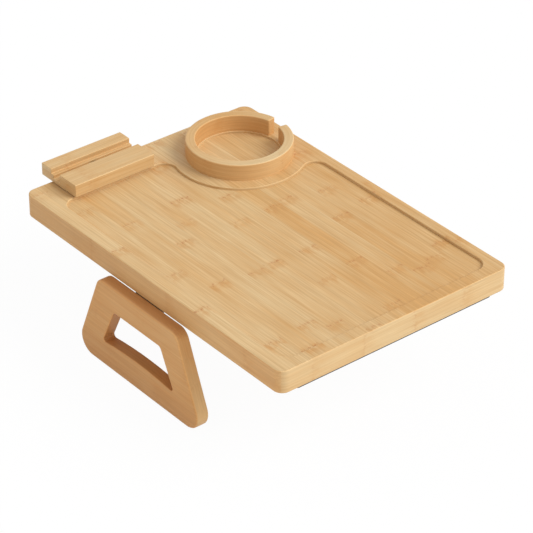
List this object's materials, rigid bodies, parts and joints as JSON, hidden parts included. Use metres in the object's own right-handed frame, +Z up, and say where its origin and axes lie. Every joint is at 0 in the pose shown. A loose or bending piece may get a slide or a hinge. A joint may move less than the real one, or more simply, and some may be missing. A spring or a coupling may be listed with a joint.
{
  "type": "sofa arm tray",
  "caption": "Bamboo tray for a sofa arm with a shallow recess, a notched cup ring, a turning slotted phone holder and folding side clamp arms.",
  "frame": {"origin": "centre of the seat on the sofa arm: under the middle of the tray board, on the plane of the grip strips' lower faces", "axes": "+X runs along the tray from the end with the cup ring and phone holder to the open end, +Z up"},
  "size_m": [0.3701, 0.2732, 0.1263],
  "materials": {
    "bamboo": "satin clear lacquer over laminated bamboo strips",
    "steel": "dark bronze plating",
    "grip_foam": "matt foam rubber",
    "nylon": "matt"
  },
  "bodies": {
    "tray": {"tray_board": "bamboo", "cup_ring": "bamboo", "cup_ring_screws": "steel", "holder_pivot_screw": "steel", "holder_head_washer": "steel", "holder_spacer_washer": "nylon", "cup_end_grip_strip": "grip_foam", "open_end_grip_strip": "grip_foam", "front_hinge_board_leaf": "steel", "front_hinge_board_screws": "steel", "front_hinge_pin": "steel", "rear_hinge_board_leaf": "steel", "rear_hinge_board_screws": "steel", "rear_hinge_pin": "steel"},
    "holder": {"phone_holder": "bamboo"},
    "front_arm": {"front_clamp_arm": "bamboo", "front_arm_pad": "grip_foam", "front_hinge_arm_leaf": "steel", "front_hinge_arm_screws": "steel"},
    "rear_arm": {"rear_clamp_arm": "bamboo", "rear_arm_pad": "grip_foam", "rear_hinge_arm_leaf": "steel", "rear_hinge_arm_screws": "steel"}
  },
  "joints": [
    {"name": "holder_swivel", "type": "hinge", "parent": "tray", "child": "holder", "pos_m": [-0.1695, -0.05315, 0.02485], "axis": [0, 0, 1], "continuous": true},
    {"name": "front_arm_hinge", "type": "hinge", "parent": "tray", "child": "front_arm", "pos_m": [0, -0.1212, -0.0012], "axis": [1, 0, 0], "range_deg": [-6, 90]},
    {"name": "rear_arm_hinge", "type": "hinge", "parent": "tray", "child": "rear_arm", "pos_m": [0, 0.1212, -0.0012], "axis": [-1, 0, 0], "range_deg": [-6, 90]}
  ]
}
